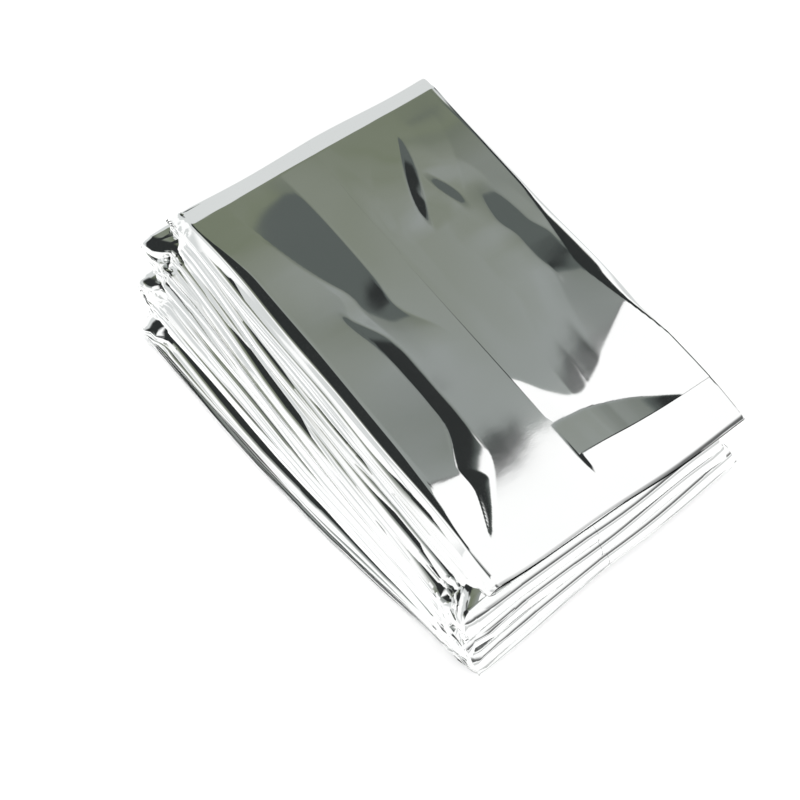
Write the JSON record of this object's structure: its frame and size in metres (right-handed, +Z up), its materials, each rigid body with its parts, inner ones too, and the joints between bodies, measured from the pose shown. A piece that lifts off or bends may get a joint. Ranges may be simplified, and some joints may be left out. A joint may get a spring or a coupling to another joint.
{
  "type": "emergency foil blanket",
  "caption": "Silver film rescue blanket, folded back and forth into a flat pack with soft rolls at both ends and loose ply edges.",
  "frame": {"origin": "middle of the pack's box, on the surface that the pack rests on", "axes": "+Z up through the layers, +Y along the pack's long side, towards the end with the four rolls"},
  "size_m": [0.105, 0.1516, 0.0305],
  "materials": {
    "silver_film": "bright metallised polyester film, mirror-like, with soft creases"
  },
  "bodies": {
    "root": {"foil_blanket": "silver_film"}
  },
  "joints": []
}
